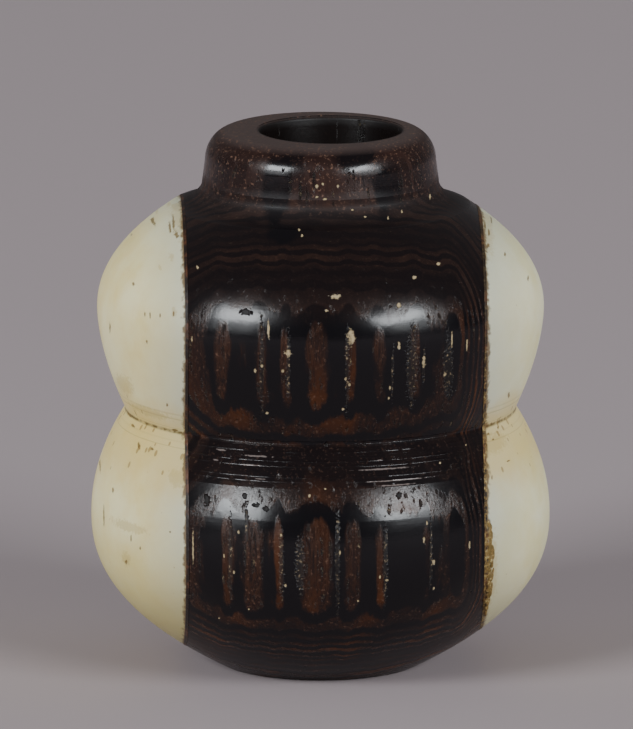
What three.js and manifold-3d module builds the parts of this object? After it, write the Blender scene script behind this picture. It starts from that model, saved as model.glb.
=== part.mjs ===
// A turned cord bead in the shape of a double gourd, in millimetres, +Z up.
// The blank was glued up as a sandwich: a slab of dark streaked wood between two pale cheeks.
// It was then turned on a lathe as one piece, a little off the sandwich's middle, with the collar
// turned from the wood alone, and bored through the middle of the slab for a doubled cord.
// The origin is the centre of the foot, on the turning axis.

import * as THREE from 'three';
import { mergeVertices } from 'three/addons/utils/BufferGeometryUtils.js';
import Module from 'manifold-3d';

const wasm = await Module();
wasm.setup();

// Driving dimensions of the whole bead.
const footRadius = 4.2;
const lowerBulgeRadius = 9.54;
const lowerBulgeHeight = 6.3;
const waistRadius = 8.12;
const waistHeight = 10.79;
const upperBulgeRadius = 9.27;
const upperBulgeHeight = 15.0;
const shoulderRadius = 6.2;
const shoulderHeight = 19.3;

// The collar: a short neck that meets the shoulder in a cove and ends in a round lip.
const collarRootRadius = 4.9;
const collarRootHeight = 20.35;
const collarWallRadius = 4.79;
const collarHeight = 22.42;
const lipHeight = 1.25;
const lipWidth = 1.05;
const coveDrop = 0.7;

// The cord bore, with its edges worn round at both mouths.
const boreRadius = 2.95;
const boreEdgeRound = 0.12;

// The bottom of the V that the turner cut at the waist is worn a little round.
const waistWearHeight = 0.1;
const waistWearDepth = 0.03;

// The sandwich: the wood slab's half thickness and the film of glue on each of its faces.
// Its middle lies off the turning axis, to the right.
const slabHalfThickness = 6.08;
const glueThickness = 0.12;
const slabOffAxis = 0.42;

// The pegs that hold each cheek while it is turned, one in each bulge.
const pegRadius = 0.75;
const pegLength = 3.2;
const pegEndChamfer = 0.15;
const pegClearance = 0.05;
const pegHoleExtraDepth = 0.1;

// How full each quarter of the outline is: 2 is a parabola, more is squarer.
const footFullness = 2.3;
const lowerWaistFullness = 2.0;
const upperWaistFullness = 1.7;
const shoulderFullness = 2.12;

// Steps of the faceting.
const turnSegments = 72;
const bulgeSteps = 8;
const roundSteps = 4;
const pegSegments = 16;
const cutOverrun = 2;

const wood = new THREE.MeshStandardMaterial({ color: 0x2a1a16, roughness: 0.32, metalness: 0 });
const pale = new THREE.MeshStandardMaterial({ color: 0xe4dcc2, roughness: 0.28, metalness: 0 });
const amber = new THREE.MeshStandardMaterial({ color: 0x8a5a2a, roughness: 0.5, metalness: 0 });
const bamboo = new THREE.MeshStandardMaterial({ color: 0xc9a66b, roughness: 0.6, metalness: 0 });

// One quarter of a bulge, from its widest place to where it ends, as a power curve.
// Its points crowd towards the end, where the outline turns away fastest.
function bulgeQuarter(widest, widestHeight, end, endHeight, fullness, withEnd) {
  const points = [];
  const count = withEnd ? bulgeSteps : bulgeSteps - 1;
  for (let step = 0; step <= count; step += 1) {
    const along = Math.sin(Math.PI / 2 * step / bulgeSteps);
    const radius = widest - (widest - end) * along ** fullness;
    const height = widestHeight + (endHeight - widestHeight) * along;
    points.push(new THREE.Vector2(radius, height));
  }
  return points;
}

// A quarter of an ellipse about a centre, from one angle to another in degrees.
function roundedEdge(centreRadius, centreHeight, width, height, from, to) {
  const points = [];
  for (let step = 0; step <= roundSteps; step += 1) {
    const angle = THREE.MathUtils.degToRad(from + (to - from) * step / roundSteps);
    const radius = centreRadius + width * Math.cos(angle);
    points.push(new THREE.Vector2(radius, centreHeight + height * Math.sin(angle)));
  }
  return points;
}

// The concave cove between the shoulder and the collar's wall.
function cove() {
  const start = new THREE.Vector2(shoulderRadius, shoulderHeight);
  const bend = new THREE.Vector2(collarRootRadius, collarRootHeight - coveDrop);
  const end = new THREE.Vector2(collarRootRadius, collarRootHeight);
  return new THREE.QuadraticBezierCurve(start, bend, end).getPoints(roundSteps);
}

// The whole outline, from the axis at the foot up the outside and over the lip to the axis again.
function beadOutline() {
  const waist = new THREE.Vector2(waistRadius, waistHeight);
  const wornRadius = waistRadius + waistWearDepth;
  const lowerFoot = bulgeQuarter(
    lowerBulgeRadius, lowerBulgeHeight, footRadius, 0, footFullness, true,
  ).reverse();
  const lowerTop = bulgeQuarter(
    lowerBulgeRadius, lowerBulgeHeight, wornRadius, waistHeight - waistWearHeight,
    lowerWaistFullness, true,
  ).slice(1);
  const upperFoot = bulgeQuarter(
    upperBulgeRadius, upperBulgeHeight, wornRadius, waistHeight + waistWearHeight,
    upperWaistFullness, true,
  ).reverse();
  const upperTop = bulgeQuarter(
    upperBulgeRadius, upperBulgeHeight, shoulderRadius, shoulderHeight, shoulderFullness, false,
  ).slice(1);
  const lip = roundedEdge(
    collarWallRadius - lipWidth, collarHeight - lipHeight, lipWidth, lipHeight, 0, 90,
  );
  return [
    new THREE.Vector2(0, 0),
    ...lowerFoot, ...lowerTop, waist, ...upperFoot, ...upperTop, ...cove(), ...lip,
    new THREE.Vector2(0, collarHeight),
  ];
}

// What the cord bore takes away, along the axis: a drill with a flared mouth at each end.
function boreOutline() {
  const mouthRadius = boreRadius + boreEdgeRound;
  const footMouth = roundedEdge(
    mouthRadius, boreEdgeRound, boreEdgeRound, boreEdgeRound, 270, 180,
  );
  const topMouth = roundedEdge(
    mouthRadius, collarHeight - boreEdgeRound, boreEdgeRound, boreEdgeRound, 180, 90,
  );
  return [
    new THREE.Vector2(0, -cutOverrun),
    new THREE.Vector2(mouthRadius, -cutOverrun),
    ...footMouth, ...topMouth,
    new THREE.Vector2(mouthRadius, collarHeight + cutOverrun),
    new THREE.Vector2(0, collarHeight + cutOverrun),
  ];
}

// A solid from a closed geometry, with its shared vertices merged.
function solidOf(geometry) {
  const bare = geometry.clone();
  bare.deleteAttribute('normal');
  bare.deleteAttribute('uv');
  const merged = mergeVertices(bare);
  return new wasm.Manifold(new wasm.Mesh({
    numProp: 3,
    vertProperties: merged.attributes.position.array,
    triVerts: Uint32Array.from(merged.index.array),
  }));
}

function geometryOf(solid) {
  const { vertProperties, triVerts } = solid.getMesh();
  const geometry = new THREE.BufferGeometry();
  geometry.setAttribute('position', new THREE.BufferAttribute(vertProperties, 3));
  geometry.setIndex(new THREE.BufferAttribute(triVerts, 1));
  const flat = geometry.toNonIndexed();
  flat.computeVertexNormals();
  return flat;
}

// A solid turned about the Z axis from an outline of radii and heights.
function turned(outline) {
  return new THREE.LatheGeometry(outline, turnSegments).rotateX(Math.PI / 2);
}

// The blank turned about the Z axis, and bored through the middle of its slab.
function boredBlank() {
  const bore = turned(boreOutline()).translate(slabOffAxis, 0, 0);
  return solidOf(turned(beadOutline())).subtract(solidOf(bore));
}

// A block that holds everything from one X to another, well past the blank in Y and Z.
function slice(fromX, toX) {
  const depth = 2 * (lowerBulgeRadius + cutOverrun);
  const height = collarHeight + 2 * cutOverrun;
  const block = new THREE.BoxGeometry(toX - fromX, depth, height);
  return solidOf(block.translate((fromX + toX) / 2, 0, collarHeight / 2));
}

// A peg along X, with chamfered ends, centred on the origin.
function pegGeometry() {
  const half = pegLength / 2;
  const outline = [
    new THREE.Vector2(0, -half),
    new THREE.Vector2(pegRadius - pegEndChamfer, -half),
    new THREE.Vector2(pegRadius, pegEndChamfer - half),
    new THREE.Vector2(pegRadius, half - pegEndChamfer),
    new THREE.Vector2(pegRadius - pegEndChamfer, half),
    new THREE.Vector2(0, half),
  ];
  return new THREE.LatheGeometry(outline, pegSegments).rotateZ(-Math.PI / 2);
}

// The drilled hole for that peg, a little wider and deeper.
function pegHole(place) {
  const length = pegLength + 2 * pegHoleExtraDepth;
  const radius = pegRadius + pegClearance;
  const drill = new THREE.CylinderGeometry(radius, radius, length, pegSegments);
  return solidOf(drill.rotateZ(-Math.PI / 2).translate(place.x, place.y, place.z));
}

// The pegs stand across the middle of each glue film, at the height of each bulge.
const pegFromMiddle = slabHalfThickness + glueThickness / 2;
const pegPlaces = [];
for (const [side, sideSign] of [['left', -1], ['right', 1]]) {
  for (const [level, height] of [['upper', upperBulgeHeight], ['lower', lowerBulgeHeight]]) {
    const centre = new THREE.Vector3(slabOffAxis + sideSign * pegFromMiddle, 0, height);
    pegPlaces.push({ name: `${side}_${level}_peg`, centre });
  }
}

const bead = new THREE.Group();

function addPiece(name, geometry, material) {
  const mesh = new THREE.Mesh(geometry, material);
  mesh.name = name;
  bead.add(mesh);
  return mesh;
}

const blank = boredBlank();
const holes = pegPlaces.map((peg) => pegHole(peg.centre));

// Cuts the blank between two X values, drilled for every peg.
function layer(fromX, toX) {
  let solid = blank.intersect(slice(fromX, toX));
  for (const hole of holes) {
    solid = solid.subtract(hole);
  }
  return geometryOf(solid);
}

const slabLeft = slabOffAxis - slabHalfThickness;
const slabRight = slabOffAxis + slabHalfThickness;
const cheekLeft = slabLeft - glueThickness;
const cheekRight = slabRight + glueThickness;
const pastCheek = lowerBulgeRadius + cutOverrun;
addPiece('wood_core', layer(slabLeft, slabRight), wood);
addPiece('left_cheek', layer(-pastCheek, cheekLeft), pale);
addPiece('right_cheek', layer(cheekRight, pastCheek), pale);
addPiece('left_glue_line', layer(cheekLeft, slabLeft), amber);
addPiece('right_glue_line', layer(slabRight, cheekRight), amber);

for (const peg of pegPlaces) {
  addPiece(peg.name, pegGeometry(), bamboo).position.copy(peg.centre);
}

export default bead;
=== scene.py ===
# A double-gourd cord bead of dark streaked wood between two pale cheeks, on a pale studio floor.
# Everything is in metres, with +Z up along the turning axis and -Y towards the viewer.

import math
import random

import bpy
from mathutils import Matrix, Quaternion, Vector


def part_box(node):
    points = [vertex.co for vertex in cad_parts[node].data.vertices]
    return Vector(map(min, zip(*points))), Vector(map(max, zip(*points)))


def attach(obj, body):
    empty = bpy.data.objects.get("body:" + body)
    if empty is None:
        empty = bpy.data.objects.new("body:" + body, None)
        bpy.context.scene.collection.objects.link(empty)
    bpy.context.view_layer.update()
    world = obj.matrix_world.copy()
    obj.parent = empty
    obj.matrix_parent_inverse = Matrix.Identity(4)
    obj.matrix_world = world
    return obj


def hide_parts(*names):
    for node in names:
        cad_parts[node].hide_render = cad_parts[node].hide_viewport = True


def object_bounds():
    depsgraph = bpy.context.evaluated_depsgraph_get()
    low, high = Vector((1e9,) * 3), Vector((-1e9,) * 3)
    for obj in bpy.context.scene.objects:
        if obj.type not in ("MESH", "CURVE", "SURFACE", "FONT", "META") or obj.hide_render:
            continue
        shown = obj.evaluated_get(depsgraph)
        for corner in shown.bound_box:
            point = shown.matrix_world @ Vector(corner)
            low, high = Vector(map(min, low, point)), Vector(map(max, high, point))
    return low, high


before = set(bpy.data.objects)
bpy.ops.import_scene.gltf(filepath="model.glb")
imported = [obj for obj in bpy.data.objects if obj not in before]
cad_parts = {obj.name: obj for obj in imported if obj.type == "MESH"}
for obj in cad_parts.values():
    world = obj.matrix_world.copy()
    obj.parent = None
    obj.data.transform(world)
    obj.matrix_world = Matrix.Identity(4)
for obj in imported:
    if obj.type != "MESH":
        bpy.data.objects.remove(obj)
cad_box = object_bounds()


# The camera looks down by a little over eleven degrees and stands two degrees to the left.
# It is a long way off with a long lens, as close-ups of small carvings are taken.
mm = 0.001
camera_elevation = math.radians(11.3)
camera_azimuth = math.radians(-2)
camera_distance = 475 * mm
aim_height = 11 * mm
aim_up = 1.476 * mm
aim_left = 0.166 * mm
frame_height_at_bead = 30.31 * mm
sensor_height_mm = 36

back = Vector((
    math.sin(camera_azimuth) * math.cos(camera_elevation),
    -math.cos(camera_azimuth) * math.cos(camera_elevation),
    math.sin(camera_elevation),
))
turn = back.to_track_quat("Z", "Y")
aim = Vector((0, 0, aim_height)) + turn @ Vector((-aim_left, aim_up, 0))
bpy.ops.object.camera_add(location=aim + back * camera_distance)
camera = bpy.context.object
camera.name = "camera"
camera.rotation_mode = "QUATERNION"
camera.rotation_quaternion = turn
camera.data.sensor_fit = "VERTICAL"
camera.data.sensor_height = sensor_height_mm
camera.data.lens = sensor_height_mm * camera_distance / frame_height_at_bead
camera.data.clip_start = 10 * mm
camera.data.clip_end = 20
bpy.context.scene.camera = camera


# The blank: a slab of dark wood glued between two pale cheeks, turned on a lathe as one piece.
# One outline runs round all three, from the foot up over the lip of the collar. The sandwich's
# middle lay 0.42 mm off the turning axis.
foot_radius = 4.2 * mm
lower_bulge_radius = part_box("right_cheek")[1].x
lower_bulge_height = 6.3 * mm
waist_radius = 8.12 * mm
waist_height = 10.79 * mm
waist_wear_height = 0.1 * mm
waist_wear_depth = 0.03 * mm
upper_bulge_radius = 9.27 * mm
upper_bulge_height = 15.0 * mm
shoulder_radius = 6.2 * mm
shoulder_height = 19.3 * mm
collar_root_radius = 4.9 * mm
collar_root_height = 20.35 * mm
collar_wall_radius = 4.79 * mm
collar_height = cad_box[1].z
cove_drop = 0.7 * mm
lip_height = 1.25 * mm
lip_width = 1.05 * mm
foot_fullness = 2.3
lower_waist_fullness = 2.0
upper_waist_fullness = 1.7
shoulder_fullness = 2.12

slab_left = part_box("wood_core")[0].x
slab_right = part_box("wood_core")[1].x
slab_middle = (slab_left + slab_right) / 2
glue_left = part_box("left_glue_line")[0].x
glue_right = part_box("right_glue_line")[1].x
beyond = 2 * lower_bulge_radius

# The outline's curves and its turn have far finer steps than the CAD solids.
foot_steps = 55
waist_steps = 35
shoulder_steps = 40
cove_steps = 10
lip_steps = 15
mouth_steps = 5
turns = 400


def select_only(*pieces):
    """Selects these pieces and nothing else, and makes the first of them active."""
    for other in list(bpy.context.selected_objects):
        other.select_set(False)
    for piece in pieces:
        piece.select_set(True)
    if pieces:
        bpy.context.view_layer.objects.active = pieces[0]


def bulge_quarter(widest, widest_height, end, end_height, fullness, steps):
    """A quarter of a bulge, from its widest place to where it ends, as a power curve."""
    points = []
    for step in range(steps + 1):
        along = math.sin(math.pi / 2 * step / steps)
        radius = widest - (widest - end) * along ** fullness
        points.append((radius, widest_height + (end_height - widest_height) * along))
    return points


def rounded_edge(radius, height, width, rise, start, end, steps):
    """A quarter of an ellipse about a centre, from one angle to another in degrees."""
    angles = [math.radians(start + (end - start) * step / steps) for step in range(steps + 1)]
    return [(radius + width * math.cos(a), height + rise * math.sin(a)) for a in angles]


def cove(steps):
    """The hollow curve between the shoulder and the collar's wall."""
    start = Vector((shoulder_radius, shoulder_height))
    bend = Vector((collar_root_radius, collar_root_height - cove_drop))
    end = Vector((collar_root_radius, collar_root_height))
    shares = [step / steps for step in range(steps + 1)]
    return [tuple((1 - t) ** 2 * start + 2 * t * (1 - t) * bend + t * t * end) for t in shares]


def outline():
    """The outline from the axis at the foot to the axis at the collar's top, as radius, height."""
    worn_radius = waist_radius + waist_wear_depth
    lower_foot = bulge_quarter(
        lower_bulge_radius, lower_bulge_height, foot_radius, 0, foot_fullness, foot_steps,
    )
    lower_top = bulge_quarter(
        lower_bulge_radius, lower_bulge_height, worn_radius, waist_height - waist_wear_height,
        lower_waist_fullness, waist_steps,
    )
    upper_foot = bulge_quarter(
        upper_bulge_radius, upper_bulge_height, worn_radius, waist_height + waist_wear_height,
        upper_waist_fullness, waist_steps,
    )
    upper_top = bulge_quarter(
        upper_bulge_radius, upper_bulge_height, shoulder_radius, shoulder_height,
        shoulder_fullness, shoulder_steps,
    )
    lip = rounded_edge(
        collar_wall_radius - lip_width, collar_height - lip_height, lip_width, lip_height,
        0, 90, lip_steps,
    )
    return (
        [(0, 0)] + lower_foot[::-1] + lower_top[1:] + [(waist_radius, waist_height)]
        + upper_foot[::-1] + upper_top[1:-1] + cove(cove_steps) + lip + [(0, collar_height)]
    )


def turned(name, points, turns):
    """A new piece: an outline extruded point by point and turned about the Z axis."""
    select_only()
    bpy.ops.mesh.primitive_plane_add(size=mm)
    piece = bpy.context.object
    piece.name = name
    piece.data.name = name
    bpy.ops.object.mode_set(mode="EDIT")
    bpy.ops.mesh.merge(type="CENTER")
    bpy.ops.transform.translate(value=(points[0][0], 0, points[0][1]))
    for start, end in zip(points, points[1:]):
        bpy.ops.mesh.extrude_region_move(
            TRANSFORM_OT_translate={"value": (end[0] - start[0], 0, end[1] - start[1])},
        )
    bpy.ops.object.mode_set(mode="OBJECT")
    spin = piece.modifiers.new("turn on the lathe", "SCREW")
    spin.angle = 2 * math.pi
    spin.steps = turns
    spin.render_steps = turns
    spin.use_merge_vertices = True
    spin.merge_threshold = mm * mm
    bpy.ops.object.modifier_apply(modifier=spin.name)
    bpy.ops.object.mode_set(mode="EDIT")
    bpy.ops.mesh.select_all(action="SELECT")
    bpy.ops.mesh.remove_doubles(threshold=mm * mm)
    bpy.ops.mesh.normals_make_consistent(inside=False)
    bpy.ops.object.mode_set(mode="OBJECT")
    return piece


def keep_between(piece, from_x, to_x):
    """Saws the piece along two upright planes and closes the cuts."""
    select_only(piece)
    bpy.ops.object.mode_set(mode="EDIT")
    for cut_x, outward in ((from_x, -1), (to_x, 1)):
        if abs(cut_x) < lower_bulge_radius:
            bpy.ops.mesh.select_all(action="SELECT")
            bpy.ops.mesh.bisect(
                plane_co=(cut_x, 0, 0), plane_no=(outward, 0, 0), use_fill=True, clear_outer=True,
                threshold=mm * mm,
            )
    bpy.ops.mesh.select_all(action="SELECT")
    bpy.ops.mesh.normals_make_consistent(inside=False)
    bpy.ops.object.mode_set(mode="OBJECT")


def cut_away(piece, cutter):
    """Cuts one piece out of another, as a drill does, and deletes the cutter."""
    cut = piece.modifiers.new("drill", "BOOLEAN")
    cut.operation = "DIFFERENCE"
    cut.solver = "MANIFOLD"
    cut.object = cutter
    select_only(piece)
    bpy.ops.object.modifier_apply(modifier=cut.name)
    bpy.data.objects.remove(cutter)


# The pegs' holes are a little wider and longer than the pegs.
peg_clearance = 0.05 * mm
peg_extra_length = 0.2 * mm
peg_hole_sides = 48


def drill_for_pegs(piece):
    """Drills the blind holes for the four pegs, where they reach into this piece."""
    for node in ("left_upper_peg", "left_lower_peg", "right_upper_peg", "right_lower_peg"):
        low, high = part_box(node)
        middle = (low + high) / 2
        select_only()
        bpy.ops.mesh.primitive_cylinder_add(
            vertices=peg_hole_sides, radius=(high.z - low.z) / 2 + peg_clearance,
            depth=high.x - low.x + peg_extra_length, location=middle,
            rotation=(0, math.pi / 2, 0),
        )
        drill = bpy.context.object
        bpy.ops.object.transform_apply(location=True, rotation=True, scale=True)
        cut_away(piece, drill)


sharp_edge = math.radians(30)


def smooth(piece):
    """Smooths the turned faces and leaves the sawn edges sharp."""
    select_only(piece)
    bpy.ops.object.shade_smooth_by_angle(angle=sharp_edge)


# The core: a slab of dense dark wood with brown bands, its fibres upright and its growth layers
# nearly parallel to the front. The collar and the bore are cut in it alone. The rim was cut a
# little aslant, and is higher at the back.
bore_radius = 2.95 * mm
bore_edge_round = 0.12 * mm
overrun = 2 * mm
rim_slant = math.radians(1.2)
under_lip = 0.05 * mm
lip_start = collar_height - lip_height - under_lip

wood_core = turned("dark_wood_core", outline(), turns)
keep_between(wood_core, slab_left, slab_right)
bpy.context.tool_settings.mesh_select_mode = (True, False, False)
bpy.ops.object.mode_set(mode="EDIT")
bpy.ops.mesh.select_all(action="DESELECT")
bpy.ops.object.mode_set(mode="OBJECT")
for vertex in wood_core.data.vertices:
    vertex.select = vertex.co.z > lip_start
bpy.ops.object.mode_set(mode="EDIT")
bpy.ops.transform.rotate(value=-rim_slant, orient_axis="X", center_override=(0, 0, lip_start))
bpy.ops.object.mode_set(mode="OBJECT")

mouth_radius = bore_radius + bore_edge_round
foot_mouth = rounded_edge(
    mouth_radius, bore_edge_round, -bore_edge_round, -bore_edge_round, 90, 0, mouth_steps,
)
top_mouth = [(radius, collar_height - height) for radius, height in reversed(foot_mouth)]
drill_outline = (
    [(0, -overrun), (mouth_radius, -overrun)] + foot_mouth + top_mouth
    + [(mouth_radius, collar_height + overrun), (0, collar_height + overrun)]
)
drill = turned("cord_bore_drill", drill_outline, turns // 2)
select_only(drill)
bpy.ops.transform.translate(value=(slab_middle, 0, 0))
bpy.ops.object.transform_apply(location=True, rotation=True, scale=True)
cut_away(wood_core, drill)
drill_for_pegs(wood_core)
smooth(wood_core)


def add_node(tree, kind, inputs=None, **settings):
    """Adds a node with its settings, and inputs that are values or come from other nodes."""
    node = tree.nodes.new("ShaderNode" + kind)
    for name, value in settings.items():
        setattr(node, name, value)
    for place, value in (inputs or {}).items():
        if isinstance(value, bpy.types.NodeSocket):
            tree.links.new(value, node.inputs[place])
        else:
            node.inputs[place].default_value = value
    return next(socket for socket in node.outputs if socket.enabled)


def linear(colour):
    """A hex sRGB colour as linear red, green, blue and alpha."""
    channels = [int(colour[place:place + 2], 16) / 255 for place in (1, 3, 5)]
    straight = [c / 12.92 if c <= 0.04045 else ((c + 0.055) / 1.055) ** 2.4 for c in channels]
    return (*straight, 1)


def new_material(name):
    """A material with a bare Principled shader; gives the material, its tree and the shader."""
    material = bpy.data.materials.new(name)
    material.use_nodes = True
    tree = material.node_tree
    return material, tree, tree.nodes["Principled BSDF"]


def inside_marks(tree, place, raggedness, marks):
    """Gives 1 inside listed oval marks, each as X, Z, half width and half height in mm."""
    nearest = 9  # further than any mark reaches
    for x, z, half_width, half_height in marks:
        from_mark = add_node(
            tree, "VectorMath",
            {0: place, 1: (1 / half_width, 0, 1 / half_height),
             2: (-x / half_width, 0, -z / half_height)},
            operation="MULTIPLY_ADD",
        )
        from_mark = add_node(tree, "VectorMath", {0: from_mark}, operation="LENGTH")
        nearest = add_node(tree, "Math", {0: from_mark, 1: nearest}, operation="MINIMUM")
    nearest = add_node(tree, "Math", {0: nearest, 1: raggedness}, operation="ADD")
    return add_node(tree, "MapRange", {"Value": nearest, "From Min": 1.05, "From Max": 0.6})


def place_in_mm(tree):
    """The place on the bead in millimetres, for patterns at their real size."""
    place = add_node(tree, "TexCoord").node.outputs["Object"]
    return add_node(tree, "VectorMath", {0: place, "Scale": 1 / mm}, operation="SCALE")


higher_at_back = 1.3


def mark_places(tree, place, away):
    """The place where marks are looked up: the back has the front's marks, a little higher."""
    at_back = add_node(tree, "Math", {0: away, 1: 0}, operation="GREATER_THAN")
    shift = add_node(tree, "CombineXYZ", {"Z": at_back})
    return add_node(
        tree, "VectorMath", {0: shift, 1: (0, 0, -higher_at_back), 2: place},
        operation="MULTIPLY_ADD",
    )


def finish_surface(tree, shader, colour, height):
    """Gives the shader its colour, and its height in millimetres as a bump."""
    bump = add_node(tree, "Bump", {"Height": height, "Strength": 1, "Distance": mm})
    tree.links.new(colour, shader.inputs["Base Color"])
    tree.links.new(bump, shader.inputs["Normal"])


def give_material(piece, material):
    """Makes a material the only one on a piece."""
    piece.data.materials.clear()
    piece.data.materials.append(material)


# Dense dark ironwood, hand polished: near-black glossy wood, and softer brown layers that lie
# a little lower and stay dull. Its scales are real ones: a pattern of scale 4 has 4 to the
# millimetre.
material, tree, shader = new_material("hand-polished dark ironwood")
place_mm = place_in_mm(tree)
across, away, up = add_node(tree, "SeparateXYZ", {0: place_mm}).node.outputs
fibre_place = add_node(tree, "VectorMath", {0: place_mm, 1: (1, 1, 0.12)}, operation="MULTIPLY")
normal = add_node(tree, "TexCoord").node.outputs["Normal"]
normal_up = add_node(tree, "SeparateXYZ", {0: normal}).node.outputs["Z"]
facing_up = add_node(tree, "Math", {0: normal_up}, operation="ABSOLUTE")
on_collar = add_node(tree, "MapRange", {"Value": up, "From Min": 19.6, "From Max": 20.4})
from_bore = add_node(
    tree, "VectorMath", {0: place_mm, 1: (1, 1, 0), 2: (-slab_middle / mm, 0, 0)},
    operation="MULTIPLY_ADD",
)
from_bore = add_node(tree, "VectorMath", {0: from_bore}, operation="LENGTH")
in_bore = add_node(
    tree, "MapRange",
    {"Value": from_bore, "From Min": bore_radius / mm + 0.15, "From Max": bore_radius / mm},
)

# The growth layers are sheets that bow nearly as much as the front does, each at its depth under
# the front and more or less brown. The fibres wave in and out by a few tenths of a millimetre up
# the bead. Low ripples run up the sheets, at their places from side to side, and the brown of the
# first layer comes to the surface only on their crests. All of this is in millimetres.
front_sheet = 9.33
bow_middle = 0.15
bow_width = 17.9
bow_flattening = 0.000012
fibre_wave = (
    (0, 0), (3.3, 0.16), (4.2, 0.12), (4.6, -0.01), (5.2, -0.17), (6.3, -0.27), (7.2, -0.2),
    (8.9, -0.32), (10, -0.1), (11.5, 0.31), (12.5, 0.38), (13.2, 0.25), (13.8, 0.11),
    (14.4, 0.03), (15, 0), (15.7, 0), (17, 0.06), (22.3, 0.1),
)
layers = [
    (0, 1), (0.62, 0.6), (1.17, 0.35), (1.55, 0.5), (1.95, 1), (2.4, 0.75), (2.66, 0.4),
    (3.2, 0.4), (3.8, 0.5), (4.5, 1), (5.05, 0.7), (5.5, 0.9), (6, 0.6), (6.6, 0.8),
]
deeper_browns = (0.9, 0.35, 0.7, 0.5, 1)
layers += [(7.2 + 0.57 * step, deeper_browns[step % 5]) for step in range(22)]

# Three layers are broad, and as brown for some way on each side. The first ones are drawn one by
# one, because their edges show on the ripples' crests.
broad_layers = {4.5: 0.18, 5.05: 0.08, 6: 0.1}
broad_rise = 0.14
deepest = 20
drawn_ahead = 0.5
most_layers = 40
upper_crests = (
    (-4.75, 1.3, 0.5), (-3.12, 0.8, 0.3), (-2.06, 0.75, 0.3), (-0.87, 1, 0.6),
    (0.47, 0.8, 0.4), (1.7, 0.8, 0.4), (3.25, 1.2, 0.45), (4.76, 1.9, 0.45),
)
lower_crests = (
    (-4.53, 1.1, 0.45), (-3.47, 1, 0.45), (-2.4, 0.8, 0.35), (-0.98, 1.1, 0.95),
    (0.5, 1, 0.5), (1.75, 0.85, 0.35), (3.6, 1, 0.35), (4.98, 1.9, 0.45),
)
ripple_height = 0.22
half_slab = 6.2
first_layers = (
    (-0.5, 0.2), (-0.15, 0.95), (0.06, 1.05), (0.3, 1.42), (0.44, 1.62), (0.55, 1.88), (0.8, 2.12),
)
drawings = {
    "fibre wave": [(z * mm / collar_height, 0.5 + offset) for z, offset in fibre_wave],
    "upper ripples": [(0, 0)],
    "lower ripples": [(0, 0)],
    "layer number": [
        ((depth + drawn_ahead) / deepest, number / most_layers) for depth, number in first_layers
    ],
    "layer strength": [(0, 1)],
}
for name, crests in (("upper ripples", upper_crests), ("lower ripples", lower_crests)):
    for crest, rise, half_width in crests:
        for sideways, level in ((-half_width, 0), (0, rise / 2), (half_width, 0)):
            drawings[name].append(((crest + sideways + half_slab) / 2 / half_slab, level))
for number, (depth, strength) in enumerate(layers, start=1):
    drawings["layer strength"].append((number / most_layers, strength))
    breadth = broad_layers.get(depth, 0)
    for side in (-1, 1) if breadth else (0,):
        if number > 2:
            share = (depth + side * breadth + drawn_ahead) / deepest
            drawings["layer number"].append((share, (number + broad_rise * side) / most_layers))
curves = {}
for name, drawn in drawings.items():
    curves[name] = tree.nodes.new("ShaderNodeFloatCurve")
    points = curves[name].mapping.curves[0].points
    while len(points) < len(drawn):
        points.new(0.5, 0.5)
    for point, place in zip(points, drawn):
        point.location = place
        point.handle_type = "VECTOR" if name == "layer number" else "AUTO_CLAMPED"
    curves[name].mapping.update()

in_slab = add_node(tree, "Math", {0: across, 1: slab_middle / mm}, operation="SUBTRACT")
from_bow = add_node(tree, "Math", {0: across, 1: bow_middle}, operation="SUBTRACT")
bow = add_node(tree, "Math", {0: from_bow, 1: from_bow}, operation="MULTIPLY")
flattening = add_node(tree, "Math", {0: bow, 1: 3}, operation="POWER")
depth = add_node(tree, "Math", {0: bow, 1: -1 / bow_width, 2: front_sheet}, operation="MULTIPLY_ADD")
depth = add_node(tree, "Math", {0: flattening, 1: bow_flattening, 2: depth}, operation="MULTIPLY_ADD")
depth = add_node(tree, "Math", {0: depth, 1: away}, operation="ADD")
share_up = add_node(tree, "Math", {0: up, 1: collar_height / mm}, operation="DIVIDE")
tree.links.new(share_up, curves["fibre wave"].inputs["Value"])
depth = add_node(tree, "Math", {0: depth, 1: curves["fibre wave"].outputs[0]}, operation="SUBTRACT")
depth = add_node(tree, "Math", {0: depth, 1: drawn_ahead}, operation="ADD")

sway = add_node(tree, "TexNoise", {"Vector": fibre_place, "Scale": 0.9, "Detail": 1})
sway = add_node(tree, "MapRange", {"Value": sway, "To Min": -0.3, "To Max": 0.3})
ripple_place = add_node(tree, "Math", {0: depth, 1: 0.06, 2: in_slab}, operation="MULTIPLY_ADD")
ripple_place = add_node(tree, "Math", {0: ripple_place, 1: sway}, operation="ADD")
ripple_place = add_node(
    tree, "MapRange", {"Value": ripple_place, "From Min": -half_slab, "From Max": half_slab},
)
for name in ("upper ripples", "lower ripples"):
    tree.links.new(ripple_place, curves[name].inputs["Value"])
smoothly = {"interpolation_type": "SMOOTHSTEP"}
in_upper = add_node(tree, "MapRange", {"Value": up, "From Min": 9.8, "From Max": 11.6}, **smoothly)
ripple = add_node(
    tree, "Mix",
    {0: in_upper, 2: curves["lower ripples"].outputs[0], 3: curves["upper ripples"].outputs[0]},
)
ripple = add_node(tree, "Math", {0: ripple, 1: -2, 2: 1}, operation="MULTIPLY_ADD")
ripple_fade = add_node(
    tree, "MapRange",
    {"Value": depth, "From Min": 0.2, "From Max": 0.7, "To Min": ripple_height, "To Max": 0.1},
)
depth = add_node(tree, "Math", {0: ripple, 1: ripple_fade, 2: depth}, operation="MULTIPLY_ADD")
uneven_place = add_node(tree, "VectorMath", {0: place_mm, 1: (1, 1, 0.35)}, operation="MULTIPLY")
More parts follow.
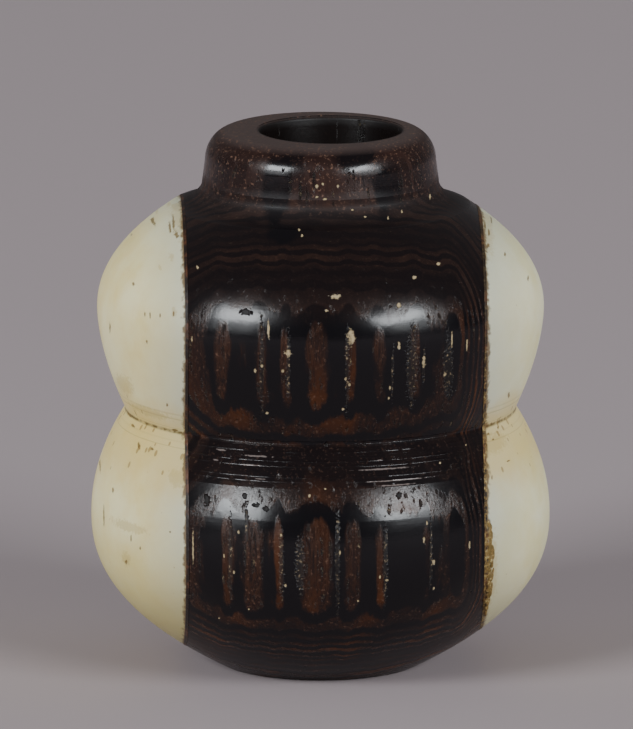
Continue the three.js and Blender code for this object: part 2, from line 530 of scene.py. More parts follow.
unevenness = add_node(
    tree, "TexNoise", {"Vector": uneven_place, "Scale": 0.9, "Detail": 2, "Roughness": 0.5},
)
unevenness = add_node(tree, "MapRange", {"Value": unevenness, "To Min": -0.14, "To Max": 0.14})
depth = add_node(tree, "Math", {0: depth, 1: unevenness}, operation="ADD")
raggedness = add_node(
    tree, "TexNoise", {"Vector": fibre_place, "Scale": 6, "Detail": 3, "Roughness": 0.6},
)
raggedness = add_node(tree, "MapRange", {"Value": raggedness, "To Min": -0.1, "To Max": 0.1})

# On the shoulder the surface cuts the layers aslant, so they show broader, with steadier edges.
oblique = add_node(tree, "MapRange", {"Value": normal_up, "From Min": 0.25, "From Max": 0.5})
steadier = add_node(tree, "Math", {0: oblique, 1: -0.8, 2: 1}, operation="MULTIPLY_ADD")
depth = add_node(tree, "Math", {0: raggedness, 1: steadier, 2: depth}, operation="MULTIPLY_ADD")

layer_share = add_node(
    tree, "MapRange",
    {"Value": depth, "From Min": -drawn_ahead, "From Max": deepest - drawn_ahead},
)
tree.links.new(layer_share, curves["layer number"].inputs["Value"])
layer_number = curves["layer number"].outputs[0]
tree.links.new(layer_number, curves["layer strength"].inputs["Value"])
wave = add_node(tree, "Math", {0: layer_number, 1: 2 * math.pi * most_layers}, operation="MULTIPLY")
wave = add_node(tree, "Math", {0: wave}, operation="COSINE")
broader = add_node(tree, "Math", {0: oblique, 1: 0.5, 2: wave}, operation="MULTIPLY_ADD")
band = add_node(tree, "MapRange", {"Value": broader, "From Min": -0.4, "From Max": 0.9}, **smoothly)
patches = add_node(tree, "TexNoise", {"Vector": fibre_place, "Scale": 0.9, "Detail": 3})
patches = add_node(
    tree, "MapRange", {"Value": patches, "From Min": 0.35, "From Max": 0.6, "To Min": 0.55},
)
fibres = add_node(tree, "TexNoise", {"Vector": fibre_place, "Scale": 9, "Detail": 4, "Roughness": 0.7})
fibres = add_node(tree, "MapRange", {"Value": fibres, "From Min": 0.36, "From Max": 0.6, "To Min": 0.2})

# Some of the brown is close and smooth and shines orange, and the rest is open and grainy.
close_grained = add_node(tree, "TexNoise", {"Vector": fibre_place, "Scale": 0.55, "Detail": 1})
close_grained = add_node(tree, "MapRange", {"Value": close_grained, "From Min": 0.46, "From Max": 0.6})
fibres = add_node(tree, "Mix", {0: close_grained, 2: fibres, 3: 0.9})
crossed = add_node(tree, "Math", {0: oblique, 1: 0.75}, operation="MULTIPLY")
fibres = add_node(tree, "Mix", {0: crossed, 2: fibres, 3: 0.7})
brown = band
for share in (curves["layer strength"].outputs[0], patches, fibres):
    brown = add_node(tree, "Math", {0: brown, 1: share}, operation="MULTIPLY")

# There and on the collar some brown shows everywhere, but for three polished patches.
all_over = add_node(tree, "Math", {0: oblique, 1: 0.2}, operation="MULTIPLY")
all_over = add_node(tree, "Math", {0: on_collar, 1: 0.4, 2: all_over}, operation="MULTIPLY_ADD")
all_over = add_node(tree, "Math", {0: all_over, 1: fibres}, operation="MULTIPLY")
brown = add_node(tree, "Math", {0: brown, 1: all_over}, operation="MAXIMUM")
patch_edge = add_node(tree, "Math", {0: sway, 1: 4, 2: raggedness}, operation="MULTIPLY_ADD")
patch_edge = add_node(tree, "Math", {0: unevenness, 1: 4, 2: patch_edge}, operation="MULTIPLY_ADD")
polished_patch = inside_marks(
    tree, place_mm, patch_edge, ((-2.05, 20.8, 1, 1.8), (1.3, 22, 0.9, 0.5), (2.5, 20.8, 0.6, 1.2)),
)
at_front = add_node(tree, "Math", {0: away, 1: 0}, operation="LESS_THAN")
polished_patch = add_node(tree, "Math", {0: polished_patch, 1: at_front}, operation="MULTIPLY")
polished_patch = add_node(tree, "Math", {0: polished_patch, 1: in_bore}, operation="MAXIMUM")
left_brown = add_node(tree, "Math", {0: polished_patch, 1: -0.9, 2: 1}, operation="MULTIPLY_ADD")
brown = add_node(tree, "Math", {0: brown, 1: left_brown}, operation="MULTIPLY")

# Vessels an eighth of a millimetre wide run up through the brown. They show as long grooves
# where the surface runs along them and as round pits where it crosses them. Each is broken into
# short pits, and some of those hold pale dust and wax.
drift = add_node(tree, "TexNoise", {"Vector": fibre_place, "Scale": 0.8, "Detail": 1})
drift = add_node(tree, "VectorMath", {0: drift.node.outputs["Color"], "Scale": 0.6}, operation="SCALE")
drifted = add_node(tree, "VectorMath", {0: place_mm, 1: drift}, operation="ADD")
vessel = add_node(tree, "TexVoronoi", {"Vector": drifted, "Scale": 3}, voronoi_dimensions="2D")
vessel = add_node(tree, "MapRange", {"Value": vessel, "From Min": 0.26, "From Max": 0.12}, **smoothly)
breaks = add_node(tree, "TexNoise", {"Vector": place_mm, "Scale": 3.5, "Detail": 4, "Roughness": 0.8})
breaks = add_node(tree, "MapRange", {"Value": breaks, "From Min": 0.5, "From Max": 0.6})
in_band = add_node(tree, "MapRange", {"Value": wave, "From Min": -0.2, "From Max": 0.5})
dust = add_node(tree, "TexNoise", {"Vector": place_mm, "Scale": 3, "Detail": 5, "Roughness": 0.8})
dust = add_node(tree, "MapRange", {"Value": dust, "From Min": 0.56, "From Max": 0.66})
along_grain = add_node(
    tree, "MapRange", {"Value": facing_up, "From Min": 0.5, "From Max": 0.25, "To Min": 0.1},
)
# The pits' dark colour, mixed in below, is painted shade in them.
pit = vessel
for share in (breaks, in_band, along_grain):
    pit = add_node(tree, "Math", {0: pit, 1: share}, operation="MULTIPLY")
dust = add_node(tree, "Math", {0: dust, 1: pit}, operation="MULTIPLY")

# The larger pits, each put where it is on the front, are full of pale wax from the polishing,
# but the long thin mark at the left seam is a painted highlight on the wood's edge. The strings
# are rows of pits full of crumbs, up the brown crests, darkened by painted shade. The scratches
# run round the waist and are painted pale, as glints. The scars are sunk and empty, and painted
# near-black as shade.
wax_and_highlight_marks = (
    (-2.43, 15.73, 0.05, 0.4), (-1.65, 14.81, 0.16, 0.16), (-1.86, 14.04, 0.06, 0.09),
    (-2.98, 13.99, 0.06, 0.09), (-2.7, 14.22, 0.06, 0.07), (-2.48, 12.16, 0.07, 0.07),
    (0.93, 15.46, 0.16, 0.33), (0.71, 13.73, 0.05, 0.08), (0.87, 13.47, 0.06, 0.09),
    (0.61, 12.39, 0.05, 0.06), (2.89, 15.01, 0.06, 0.18), (2.53, 13.23, 0.05, 0.1),
    (2.49, 12.8, 0.05, 0.08), (3.93, 14.29, 0.08, 0.28), (4.82, 13.61, 0.06, 0.1),
    (5.1, 15.03, 0.035, 0.3), (5.74, 14.77, 0.035, 0.25), (0.33, 17.05, 0.26, 0.08),
    (-0.07, 16.53, 0.08, 0.06), (4.61, 17.95, 0.09, 0.06), (3.58, 17.58, 0.09, 0.06),
    (-5.26, 17.8, 0.06, 0.06), (2.91, 16.63, 0.08, 0.1), (-5.52, 15.09, 0.04, 0.12),
    (-0.77, 8.84, 0.06, 0.08), (-0.13, 9.11, 0.05, 0.04), (-3.66, 7.3, 0.05, 0.09),
    (-4.25, 6.25, 0.04, 0.09), (-3.85, 5.6, 0.05, 0.08), (-1.94, 7.27, 0.05, 0.08),
    (-1.76, 5.15, 0.05, 0.08), (-3.23, 3.99, 0.04, 0.04), (-4.43, 3.4, 0.04, 0.05),
    (0.46, 6.59, 0.04, 0.1), (1.21, 4.46, 0.04, 0.05), (2.11, 5.48, 0.04, 0.09),
    (2.4, 5.33, 0.08, 0.06), (3.93, 6.89, 0.05, 0.12), (4.06, 7.56, 0.04, 0.09),
    (4.33, 5.92, 0.06, 0.11), (4.36, 4.78, 0.06, 0.08), (5.85, 6.4, 0.04, 0.17),
    # This line's first mark is the painted highlight along the left seam's edge.
    (-5.5, 6.4, 0.035, 0.75), (4.64, 9.81, 0.04, 0.04), (5.77, 10.31, 0.04, 0.04),
    (-0.32, 20.92, 0.07, 0.08), (-0.07, 21.01, 0.06, 0.06), (0.54, 20.91, 0.05, 0.09),
    (-0.32, 20.49, 0.06, 0.06), (0.01, 20.4, 0.08, 0.05), (1.14, 19.94, 0.06, 0.04),
    (1.65, 19.67, 0.06, 0.04), (-0.98, 19.15, 0.05, 0.05), (-1.09, 19.33, 0.05, 0.04),
    (2.6, 19.58, 0.04, 0.05), (3.2, 19.71, 0.04, 0.05), (4.44, 20.01, 0.04, 0.12),
)
strings = (
    (-2.7, 14.1, 0.09, 2.1), (-1.63, 14.2, 0.09, 1.5), (0.76, 14.05, 0.1, 1.8),
    (2.66, 13.9, 0.06, 1.3), (3.45, 14, 0.24, 1.6), (3.95, 14.1, 0.07, 0.9),
    (4.95, 13.8, 0.2, 1.4), (-4, 6, 0.08, 1.8), (-3.35, 7.6, 0.08, 0.7), (-1.94, 6, 0.11, 1.5),
    (0.35, 6, 0.1, 2.1), (2.3, 6, 0.1, 1.7), (4.2, 6.2, 0.08, 1.5), (-1.2, 6, 0.2, 1.2),
)
scratch_glints = (
    (-4.33, 10.39, 0.2, 0.035), (-4.54, 10, 0.1, 0.035), (-2.88, 10.28, 0.62, 0.035),
    (-3.17, 9.93, 0.45, 0.03), (-2.77, 9.43, 0.22, 0.025), (2.15, 10.14, 0.12, 0.03),
    (2.35, 9.8, 1.2, 0.035), (2.88, 9.34, 1.3, 0.03), (2.75, 9.16, 0.8, 0.03),
)
scars = (
    (-3.33, 16.38, 0.25, 0.12), (2.9, 8.75, 0.13, 0.13), (-4.92, 8.44, 0.13, 0.25),
    (-3.39, 8.74, 0.13, 0.11), (-2.94, 8.41, 0.16, 0.1), (-2.54, 8.28, 0.12, 0.1),
)
mark_place = mark_places(tree, place_mm, away)
ragged = add_node(tree, "TexNoise", {"Vector": place_mm, "Scale": 9, "Detail": 2})
ragged = add_node(tree, "MapRange", {"Value": ragged, "To Min": -0.9, "To Max": 0.9})
wax_and_edge_highlight = inside_marks(tree, mark_place, ragged, wax_and_highlight_marks)
outside_bore = add_node(tree, "Math", {0: 1, 1: in_bore}, operation="SUBTRACT")
wax_and_edge_highlight = add_node(tree, "Math", {0: wax_and_edge_highlight, 1: outside_bore}, operation="MULTIPLY")
string_drift = add_node(
    tree, "VectorMath", {0: drift, 1: (0.5, 0, 0), 2: mark_place}, operation="MULTIPLY_ADD",
)
string_drift = add_node(tree, "VectorMath", {0: string_drift, 1: (-0.15, 0, 0)}, operation="ADD")
string = inside_marks(tree, string_drift, ragged, strings)
crumb_and_glint_noise = add_node(tree, "TexNoise", {"Vector": place_mm, "Scale": 7, "Detail": 3, "Roughness": 0.7})
string_crumbs = add_node(
    tree, "MapRange", {"Value": crumb_and_glint_noise, "From Min": 0.57, "From Max": 0.65, "To Max": string},
)
groove_shade = add_node(tree, "Math", {0: string, 1: 0.5}, operation="MULTIPLY")
scratch_glint = inside_marks(tree, mark_place, ragged, scratch_glints)
scar_and_painted_shade = inside_marks(tree, mark_place, ragged, scars)

# The collar's rim is rubbed by the cord's knot to a matt grey-brown, painted lighter where it faces up
# as light from above, and the bore is unpolished.
rubbed_rim_and_painted_light = add_node(
    tree, "MapRange", {"Value": facing_up, "From Min": 0.72, "From Max": 0.98, "To Max": on_collar},
)

# The V under the waist was left as the cutting point left it, full of fine rings, and is dull.
below_waist = add_node(tree, "MapRange", {"Value": up, "From Min": 9.0, "From Max": 9.6}, **smoothly)
above_waist = add_node(tree, "MapRange", {"Value": up, "From Min": 11.2, "From Max": 10.8}, **smoothly)
unpolished = add_node(tree, "Math", {0: below_waist, 1: above_waist}, operation="MULTIPLY")

# Dirt that polishing never reached fills the corner of the cove under the collar, and the edges
# of the rim are dull. The slopes of rubbed_down, hollow, worn_foot and cove_dirt are shading only,
# set so that the highlights and the dark underside fall where the photo has them. The outline was
# fitted without them, and wear is only a guess at their cause.
above_cove, below_cove, cove_dirt, at_rim, rubbed_down, hollow = (
    add_node(tree, "MapRange", {"Value": up, "From Min": start, "From Max": end})
    for start, end in (
        (20.7, 20.3), (19.3, 19.6), (20, 20.35), (22.05, 22.3), (7.8, 10.8), (9.1, 10.8),
    )
)
in_cove = add_node(tree, "Math", {0: above_cove, 1: below_cove}, operation="MULTIPLY")
worn_foot = add_node(tree, "MapRange", {"Value": up, "From Min": -3, "From Max": 4.5}, **smoothly)

# Crumbs of dust and torn fibre sit in the brown, and wherever the polishing didn't reach. Their pale
# specks are partly painted glints, as of pores catching the light.
grainy_brown = add_node(tree, "Math", {0: brown, 1: steadier}, operation="MULTIPLY")
grainy = add_node(tree, "Math", {0: grainy_brown, 1: on_collar}, operation="MAXIMUM")
in_waist = add_node(tree, "Math", {0: unpolished, 1: 0.2}, operation="MULTIPLY")
grainy = add_node(tree, "Math", {0: grainy, 1: in_waist}, operation="MAXIMUM")
crumbs_and_painted_glints = add_node(tree, "MapRange", {"Value": crumb_and_glint_noise, "From Min": 0.58, "From Max": 0.67})
for share in (grainy, left_brown):
    crumbs_and_painted_glints = add_node(tree, "Math", {0: crumbs_and_painted_glints, 1: share}, operation="MULTIPLY")

brown_colour = linear("#30190C")
for share, paint in ((close_grained, "#4A2404"), (oblique, "#291913"), (on_collar, "#341F18")):
    brown_colour = add_node(
        tree, "Mix", {0: share, 6: brown_colour, 7: linear(paint)}, data_type="RGBA",
    )
bore_shade = add_node(tree, "Math", {0: in_bore, 1: 0.7}, operation="MULTIPLY")
colour = add_node(tree, "Mix", {0: brown, 6: linear("#09070A"), 7: brown_colour}, data_type="RGBA")
for share, paint in (
    (rubbed_rim_and_painted_light, "#3E322F"), (crumbs_and_painted_glints, "#62483A"), (pit, "#120B08"), (dust, "#9A8664"),
    (groove_shade, "#140C0A"), (string_crumbs, "#7C6C54"), (scar_and_painted_shade, "#0C0706"), (scratch_glint, "#6A605C"),
    (wax_and_edge_highlight, "#A08E6C"), (bore_shade, "#120D0B"),
):
    colour = add_node(tree, "Mix", {0: share, 6: colour, 7: linear(paint)}, data_type="RGBA")
shader.inputs["Specular IOR Level"].default_value = 0.34

# End grain drinks the polish, so the foot and the collar's top are duller.
end_grain = add_node(tree, "MapRange", {"Value": facing_up, "From Min": 0.85, "From Max": 1})
dull = 0.19
for share, duller in (
    (brown, 0.16), (end_grain, 0.15), (on_collar, 0.02), (in_cove, 0.3), (in_bore, 0.12),
    (at_rim, 0.26), (polished_patch, -0.06), (pit, 0.5), (wax_and_edge_highlight, 0.4), (scar_and_painted_shade, 0.4), (string, 0.3),
):
    dull = add_node(tree, "Math", {0: share, 1: duller, 2: dull}, operation="MULTIPLY_ADD")
tree.links.new(dull, shader.inputs["Roughness"])

# The height of the surface in millimetres: it is a little wavy from hand polishing, the brown
# is worn down, the pits are cut into it, the dull wood is gritty, and the waist has its rings.
ring_place = add_node(tree, "Math", {0: up, 1: 9}, operation="MULTIPLY")
rings = add_node(tree, "TexNoise", {"W": ring_place, "Scale": 1, "Detail": 1}, noise_dimensions="1D")
rings = add_node(tree, "MapRange", {"Value": rings, "From Min": 0.54, "From Max": 0.68})
waves = add_node(tree, "TexNoise", {"Vector": place_mm, "Scale": 0.5, "Detail": 1})
mottling = add_node(tree, "TexNoise", {"Vector": place_mm, "Scale": 1.6, "Detail": 2})
worn_rings = add_node(
    tree, "MapRange", {"Value": mottling, "From Min": 0.42, "From Max": 0.56, "To Min": 0.2},
)
rings = add_node(tree, "Math", {0: rings, 1: worn_rings}, operation="MULTIPLY")
orange_peel = add_node(tree, "TexNoise", {"Vector": place_mm, "Scale": 6, "Detail": 2})
grit = add_node(tree, "TexNoise", {"Vector": place_mm, "Scale": 9, "Detail": 3, "Roughness": 0.7})
ring_height = add_node(tree, "Math", {0: unpolished, 1: 0.008, 2: 0.0004}, operation="MULTIPLY_ADD")
less_on_collar = add_node(tree, "Math", {0: on_collar, 1: -0.6, 2: 1}, operation="MULTIPLY_ADD")
grit_height = add_node(tree, "Math", {0: grainy_brown, 1: less_on_collar}, operation="MULTIPLY")
grit_height = add_node(tree, "Math", {0: grit_height, 1: 0.025, 2: 0.0006}, operation="MULTIPLY_ADD")
for share in (in_bore, unpolished):
    grit_height = add_node(tree, "Math", {0: share, 1: 0.003, 2: grit_height}, operation="MULTIPLY_ADD")
height = add_node(tree, "Math", {0: rings, 1: ring_height}, operation="MULTIPLY")
for share, rise in (
    (waves, 0.03), (mottling, 0.006), (orange_peel, 0.0015), (grit, grit_height),
    (brown, -0.004), (pit, -0.05), (wax_and_edge_highlight, -0.02), (scar_and_painted_shade, -0.08), (string, -0.03),
    (rubbed_down, -0.2), (hollow, -0.23), (worn_foot, -1.6), (cove_dirt, 0.13),
):
    height = add_node(tree, "Math", {0: share, 1: rise, 2: height}, operation="MULTIPLY_ADD")
finish_surface(tree, shader, colour, height)

give_material(wood_core, material)
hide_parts("wood_core")
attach(wood_core, "root")


# The cheeks: two caps of ivory-like material, sawn flat, glued and pegged to the slab and turned
# with it. They are polished and cream, with a grey shade painted in by the seam, and yellow-brown
# where dirt and handling have gathered in the waist.
material, tree, shader = new_material("polished aged ivory")
place_mm = place_in_mm(tree)
across, away, up = add_node(tree, "SeparateXYZ", {0: place_mm}).node.outputs
# Cream all over, mottled over a few millimetres, with a grey shade painted in towards the seam.
mottle = add_node(tree, "TexNoise", {"Vector": place_mm, "Scale": 0.4, "Detail": 4, "Roughness": 0.6})
mottle = add_node(tree, "MapRange", {"Value": mottle, "From Min": 0.35, "From Max": 0.65})
from_middle = add_node(tree, "Math", {0: across, 1: slab_middle / mm}, operation="SUBTRACT")
from_middle = add_node(tree, "Math", {0: from_middle}, operation="ABSOLUTE")
from_seam = add_node(
    tree, "Math", {0: from_middle, 1: (glue_right - slab_middle) / mm}, operation="SUBTRACT",
)
seam_grey_shade = add_node(
    tree, "MapRange", {"Value": from_seam, "From Min": 1.8, "From Max": 0.3, "To Max": 0.75},
)
on_right = add_node(tree, "Math", {0: across, 1: 0}, operation="GREATER_THAN")
colour = add_node(
    tree, "Mix", {0: mottle, 6: linear("#E3DAA9"), 7: linear("#DCCA8A")}, data_type="RGBA",
)
right_cream = add_node(
    tree, "Mix", {0: mottle, 6: linear("#DFDBBA"), 7: linear("#D6CE9C")}, data_type="RGBA",
)
colour = add_node(tree, "Mix", {0: on_right, 6: colour, 7: right_cream}, data_type="RGBA")

# It turns darker and yellower towards the foot, and dirt and handling have yellowed the waist, mostly
# below it.
unevenness = add_node(tree, "TexNoise", {"Vector": place_mm, "Scale": 0.9, "Detail": 4})
above_waist = add_node(tree, "Math", {0: up, 1: waist_height / mm}, operation="SUBTRACT")
wavering = add_node(tree, "Math", {0: unevenness, 1: 1.6, 2: above_waist}, operation="MULTIPLY_ADD")
under = add_node(tree, "MapRange", {"Value": wavering, "From Min": -2.5, "From Max": -0.4}, **smoothly)
over = add_node(tree, "MapRange", {"Value": wavering, "From Min": 2.5, "From Max": 0.7}, **smoothly)
yellowed = add_node(tree, "Math", {0: under, 1: over}, operation="MULTIPLY")
near_foot = add_node(tree, "MapRange", {"Value": up, "From Min": 7, "From Max": 2.5, "To Max": 0.75})
weaker = add_node(tree, "Math", {0: on_right, 1: -0.5, 2: 1}, operation="MULTIPLY_ADD")
near_foot = add_node(tree, "Math", {0: near_foot, 1: weaker}, operation="MULTIPLY")
yellower = add_node(tree, "Math", {0: yellowed, 1: 0.6}, operation="MULTIPLY")

# The point of the tool left fine rings in the waist, which hold dark dirt. The V itself is darkened
# by dirt and by painted shade in it.
from_groove = add_node(tree, "Math", {0: above_waist}, operation="ABSOLUTE")
near_groove = add_node(
    tree, "MapRange", {"Value": from_groove, "From Min": 1.1, "From Max": 0.4, "To Max": 0.4},
)
tool_rings = add_node(tree, "TexNoise", {"W": up, "Scale": 6, "Detail": 2}, noise_dimensions="1D")
tool_rings = add_node(
    tree, "MapRange", {"Value": tool_rings, "From Min": 0.58, "From Max": 0.68, "To Max": near_groove},
)
groove_patches = add_node(tree, "TexNoise", {"Vector": place_mm, "Scale": 3.5, "Detail": 3})
groove_patches = add_node(
    tree, "MapRange", {"Value": groove_patches, "From Min": 0.35, "From Max": 0.6, "To Min": 0.3},
)
groove_dirt_and_shade = add_node(
    tree, "MapRange", {"Value": from_groove, "From Min": 0.1, "From Max": 0.02, "To Max": groove_patches},
)

# Small upright flecks of dirt, 0.1 mm wide, thick in the yellowed part and rare elsewhere.
fleck_place = add_node(tree, "VectorMath", {0: place_mm, 1: (1.5, 1.5, 0.7)}, operation="MULTIPLY")
flecks = add_node(tree, "TexVoronoi", {"Vector": fleck_place, "Scale": 1.6, "Randomness": 1})
fleck_luck = add_node(tree, "SeparateColor", {0: flecks.node.outputs["Color"]})
fleck_size = add_node(tree, "Math", {0: yellowed, 1: 0.16, 2: 0.05}, operation="MULTIPLY_ADD")
fleck = add_node(tree, "Math", {0: flecks, 1: fleck_size}, operation="LESS_THAN")
luck_needed = add_node(tree, "Math", {0: yellowed, 1: -0.6, 2: 0.8}, operation="MULTIPLY_ADD")
lucky = add_node(tree, "Math", {0: fleck_luck, 1: luck_needed}, operation="GREATER_THAN")
for share in (lucky, 0.6):
    fleck = add_node(tree, "Math", {0: fleck, 1: share}, operation="MULTIPLY")

# Stains and specks, each put where it is on the front, and a little higher on the back.
stains = (
    (-5.85, 19.3, 0.45, 0.75), (-6.3, 17.98, 0.12, 0.14), (-6.76, 17.54, 0.07, 0.1),
    (-6.23, 16.06, 0.13, 0.22), (-8.1, 6.75, 0.75, 0.25), (-8.19, 5.33, 0.2, 0.35),
    (-6.15, 9.1, 0.35, 0.4), (6.75, 18.6, 0.35, 0.9), (-7.2, 11.4, 0.9, 0.25),
    (6.8, 5.2, 0.32, 1.7), (6.62, 3.6, 0.25, 1), (7, 10.1, 0.6, 0.4), (-8.2, 12.3, 0.4, 0.5),
)
specks = (
    (-6.99, 18.74, 0.15, 0.06), (-7.85, 16.74, 0.05, 0.07), (-7.32, 14.63, 0.035, 0.09),
    (-8.79, 14.7, 0.03, 0.25), (-7.4, 15.75, 0.03, 0.1), (-7.19, 15.73, 0.03, 0.14),
    (-6.79, 15.81, 0.03, 0.1), (-6.24, 16, 0.04, 0.1), (-6.5, 11.98, 0.04, 0.07),
    (-7.11, 9.96, 0.07, 0.06), (-7.63, 9.92, 0.05, 0.13), (-9.19, 8.44, 0.03, 0.25),
    (-8.7, 7.96, 0.04, 0.14), (-9.07, 6.72, 0.03, 0.5), (-7.99, 6.27, 0.025, 0.15),
    (-7.63, 6, 0.03, 0.08), (-8.18, 5.2, 0.06, 0.1), (-6.42, 6.94, 0.05, 0.05),
    (-6.17, 10.86, 0.13, 0.05), (6.77, 18.15, 0.08, 0.07), (7.5, 17.71, 0.05, 0.08),
    (8.48, 16.62, 0.04, 0.08), (7.57, 9.32, 0.1, 0.03), (7.62, 11.95, 0.05, 0.16),
    (6.85, 8.9, 0.03, 0.1), (-7.95, 10.75, 0.07, 0.06), (-7.85, 10.5, 0.09, 0.05),
    (6.6, 18.9, 0.05, 0.12), (6.72, 18.7, 0.05, 0.12), (6.86, 18.5, 0.05, 0.1),
    (6.95, 18.88, 0.04, 0.08), (7.06, 18.72, 0.04, 0.1), (6.55, 17.9, 0.1, 0.12),
    (6.62, 11.05, 0.08, 0.05), (6.9, 10.85, 0.06, 0.04), (6.75, 10.5, 0.05, 0.05),
    (6.6, 10.15, 0.07, 0.07), (6.95, 10.25, 0.05, 0.04), (7.2, 10.6, 0.05, 0.04),
    (-6.15, 19, 0.06, 0.2), (-6.3, 18.85, 0.05, 0.16), (-6.05, 18.7, 0.1, 0.1),
)
mark_place = mark_places(tree, place_mm, away)
ragged = add_node(tree, "TexNoise", {"Vector": place_mm, "Scale": 7, "Detail": 2})
ragged = add_node(tree, "MapRange", {"Value": ragged, "To Min": -0.9, "To Max": 0.9})
stain = inside_marks(tree, mark_place, ragged, stains)
stain = add_node(tree, "Math", {0: stain, 1: 0.35}, operation="MULTIPLY")
speck = inside_marks(tree, mark_place, ragged, specks)
speck = add_node(tree, "Math", {0: speck, 1: 0.8}, operation="MULTIPLY")

# The edge at the seam is chipped, and has taken up brown dirt.
chips = add_node(tree, "TexNoise", {"Vector": place_mm, "Scale": 3.5, "Detail": 4})
edge = add_node(tree, "Math", {0: chips, 1: -0.5, 2: from_seam}, operation="MULTIPLY_ADD")
edge = add_node(tree, "MapRange", {"Value": edge, "From Min": -0.13, "From Max": -0.23, "To Max": 0.85})
for share, paint in (
    (seam_grey_shade, "#BFC0AC"), (near_foot, "#B4A460"), (yellower, "#CCAE5C"),
    (tool_rings, "#7A6428"), (groove_dirt_and_shade, "#5C4A1C"), (stain, "#A68C44"), (fleck, "#7C5A18"),
    (speck, "#664C14"), (edge, "#5E4220"),
):
    colour = add_node(tree, "Mix", {0: share, 6: colour, 7: linear(paint)}, data_type="RGBA")
shader.inputs["Roughness"].default_value = 0.38
shader.inputs["Subsurface Weight"].default_value = 0.15
shader.inputs["Subsurface Radius"].default_value = (1.2 * mm, 0.8 * mm, 0.4 * mm)
shader.inputs["Subsurface Scale"].default_value = 1

# Polished by hand, it is faintly wavy, with the tool's rings left in the waist.
waves = add_node(tree, "TexNoise", {"Vector": place_mm, "Scale": 0.6, "Detail": 2})
height = add_node(tree, "Math", {0: waves, 1: 0.02}, operation="MULTIPLY")
for share, rise in ((tool_rings, -0.02), (speck, -0.03), (fleck, -0.01)):
    height = add_node(tree, "Math", {0: share, 1: rise, 2: height}, operation="MULTIPLY_ADD")
finish_surface(tree, shader, colour, height)

for side, from_x, to_x in (("left", -beyond, glue_left), ("right", glue_right, beyond)):
    cheek = turned(f"{side}_pale_cheek", outline(), turns)
    keep_between(cheek, from_x, to_x)
    drill_for_pegs(cheek)
    smooth(cheek)
    give_material(cheek, material)
    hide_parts(f"{side}_cheek")
    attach(cheek, "root")


# The glue: a film of animal glue on each side of the slab, gone amber and dirty with age, that
# stands a little proud. Low on the front of the right seam it was never cleaned off, and the
# squeezed-out grains have dried to a golden crust.
glue_proud = 0.015 * mm
crust_bottom = 3 * mm
crust_top = 7.1 * mm
crust_least_mm = 0.05
crust_more_mm = 0.2
grain_count = 120
grain_radius_mm = (0.05, 0.09)
grain_stretch = ((0.8, 1.2), (0.3, 0.5), (1.5, 3.5))
melted_detail = 0.025 * mm
random.seed(7)

material, tree, shader = new_material("aged amber hide glue")
place_mm = place_in_mm(tree)
across, _, up = add_node(tree, "SeparateXYZ", {0: place_mm}).node.outputs
# Nearly black with dirt, rust-brown in places, and golden on the right from the waist down.
dirt = add_node(tree, "TexNoise", {"Vector": place_mm, "Scale": 1.3, "Detail": 5, "Roughness": 0.7})
rust = add_node(tree, "MapRange", {"Value": dirt, "From Min": 0.5, "From Max": 0.62})
on_right = add_node(tree, "Math", {0: across, 1: 0}, operation="GREATER_THAN")
golden = add_node(tree, "MapRange", {"Value": up, "From Min": 15.5, "From Max": 10.5, "To Min": 0.15})
golden = add_node(tree, "Math", {0: golden, 1: on_right}, operation="MULTIPLY")
specks = add_node(tree, "TexNoise", {"Vector": place_mm, "Scale": 6, "Detail": 3, "Roughness": 0.7})
gold_specks, pale_specks = (
    add_node(tree, "MapRange", {"Value": specks, "From Min": start, "From Max": end, "To Max": golden})
    for start, end in ((0.42, 0.56), (0.58, 0.66))
)
in_crust = add_node(
    tree, "MapRange",
    {"Value": across, "From Min": glue_right / mm, "From Max": glue_right / mm + 0.08},
)
colour = linear("#1A0F08")
for share, paint in (
    (rust, "#52301A"), (in_crust, "#665222"), (gold_specks, "#806634"), (pale_specks, "#A89868"),
):
    colour = add_node(tree, "Mix", {0: share, 6: colour, 7: linear(paint)}, data_type="RGBA")
shader.inputs["Roughness"].default_value = 0.42
height = add_node(tree, "Math", {0: specks, 1: 0.05}, operation="MULTIPLY")
finish_surface(tree, shader, colour, height)

proud_outline = [(radius + glue_proud if radius else 0, height) for radius, height in outline()]
films = {}
for side, from_x, to_x in (("left", glue_left, slab_left), ("right", slab_right, glue_right)):
    film = turned(f"{side}_glue_film", proud_outline, turns)
    keep_between(film, from_x, to_x)
    drill_for_pegs(film)
    smooth(film)
    films[side] = film

bulge_outline = [point for point in outline() if slab_right < point[0]]
grains = []
for number in range(grain_count):
    share = number / (grain_count - 1)
    height = crust_bottom + (crust_top - crust_bottom) * share
    radius = min(bulge_outline, key=lambda point: abs(point[1] - height))[0]
    swelling = math.sin(math.pi * min(1, 1.1 - share)) ** 0.7
    width = (crust_least_mm + crust_more_mm * swelling) * mm
    place_x = glue_right + width * random.uniform(0, 1)
    place_y = -math.sqrt(radius ** 2 - place_x ** 2)
    select_only()
    bpy.ops.mesh.primitive_ico_sphere_add(
        subdivisions=2, radius=random.uniform(*grain_radius_mm) * mm,
        location=(place_x, place_y, height),
    )
    bpy.ops.transform.resize(value=[random.uniform(*span) for span in grain_stretch])
    grains.append(bpy.context.object)
select_only(*grains)
bpy.ops.object.join()
crust = bpy.context.object
bpy.ops.object.transform_apply(location=True, rotation=True, scale=True)
melt = crust.modifiers.new("melt together", "REMESH")
melt.mode = "VOXEL"
melt.voxel_size = melted_detail
bpy.ops.object.modifier_apply(modifier=melt.name)
bpy.ops.object.shade_smooth()
select_only(films["right"], crust)
bpy.ops.object.join()

for side, film in films.items():
    give_material(film, material)
    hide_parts(f"{side}_glue_line")
    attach(film, "root")


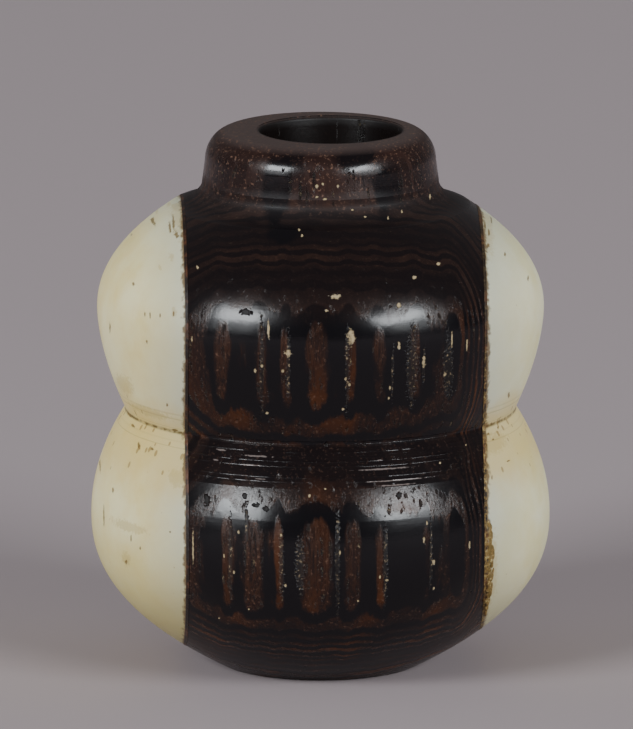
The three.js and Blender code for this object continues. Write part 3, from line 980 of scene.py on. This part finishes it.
# The pegs: short lengths of split bamboo that hold each cheek, hidden in their blind holes.
# Bamboo is straw-coloured, with darker bundles of fibre 0.25 mm apart along its length.
material, tree, shader = new_material("split bamboo")
place_mm = place_in_mm(tree)
along_peg = add_node(tree, "VectorMath", {0: place_mm, 1: (0.05, 1, 1)}, operation="MULTIPLY")
bundles = add_node(tree, "TexVoronoi", {"Vector": along_peg, "Scale": 4})
bundles = add_node(tree, "MapRange", {"Value": bundles, "From Min": 0.4, "From Max": 0.2})
strands = add_node(tree, "TexNoise", {"Vector": along_peg, "Scale": 14, "Detail": 2})
colour = linear("#D2B47C")
for share, paint in ((strands, "#BC9656"), (bundles, "#8A6434")):
    colour = add_node(tree, "Mix", {0: share, 6: colour, 7: linear(paint)}, data_type="RGBA")
shader.inputs["Roughness"].default_value = 0.62
height = add_node(tree, "Math", {0: strands, 1: 0.02}, operation="MULTIPLY")
finish_surface(tree, shader, colour, height)
for side in ("left", "right"):
    for level in ("upper", "lower"):
        give_material(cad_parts[f"{side}_{level}_peg"], material)


# The floor: plain pale grey paper.
floor_size = 6
material, tree, shader = new_material("pale grey paper")
shader.inputs["Base Color"].default_value = linear("#9C9092")
shader.inputs["Roughness"].default_value = 0.9
select_only()
bpy.ops.mesh.primitive_plane_add(size=floor_size)
floor = bpy.context.object
floor.name = "floor"
floor.data.materials.append(material)


# The light: on each side of the camera a small bright softbox in front of a large dim one, and
# a large one on each side of the bead, which lights its cheek and gives no reflection, because
# that would haze the wood. The room is dim. Each softbox has its azimuth and elevation from the
# camera in degrees, its width and height in metres, watts, distance in metres and roll.
cool_white = (0.93, 0.97, 1)
room_light = 0.16
softboxes = (
    ("left_softbox", -45, 27.2, 0.38, 0.25, 6.7, 0.95, 0),
    ("left_softbox_spill", -46, 20, 0.46, 0.45, 2.2, 1, 0),
    ("right_softbox", 44, 25, 0.44, 0.21, 6.4, 0.95, 12),
    ("right_softbox_spill", 50, 20, 0.44, 0.45, 2, 1, 0),
    ("left_side_softbox", -118, 12, 1.2, 0.4, 6.2, 1.1, 0),
    ("right_side_softbox", 118, 12, 1.2, 0.4, 5.4, 1.1, 0),
)
for name, azimuth, elevation, width, height, watts, distance, roll in softboxes:
    around = camera_azimuth + math.radians(azimuth)
    above = math.radians(elevation)
    towards = Vector((
        math.sin(around) * math.cos(above), -math.cos(around) * math.cos(above), math.sin(above),
    ))
    bpy.ops.object.light_add(type="AREA", location=aim + towards * distance)
    light = bpy.context.object
    light.name = name
    light.rotation_mode = "QUATERNION"
    rolled = Quaternion((0, 0, 1), math.radians(roll))
    light.rotation_quaternion = towards.to_track_quat("Z", "Y") @ rolled
    light.data.shape = "RECTANGLE"
    light.data.size = width
    light.data.size_y = height
    light.data.energy = watts
    light.data.color = cool_white
    light.visible_glossy = "side" not in name

world = bpy.data.worlds.new("dim room")
world.use_nodes = True
world.node_tree.nodes["Background"].inputs["Color"].default_value = linear("#E8E8EC")
world.node_tree.nodes["Background"].inputs["Strength"].default_value = room_light
bpy.context.scene.world = world
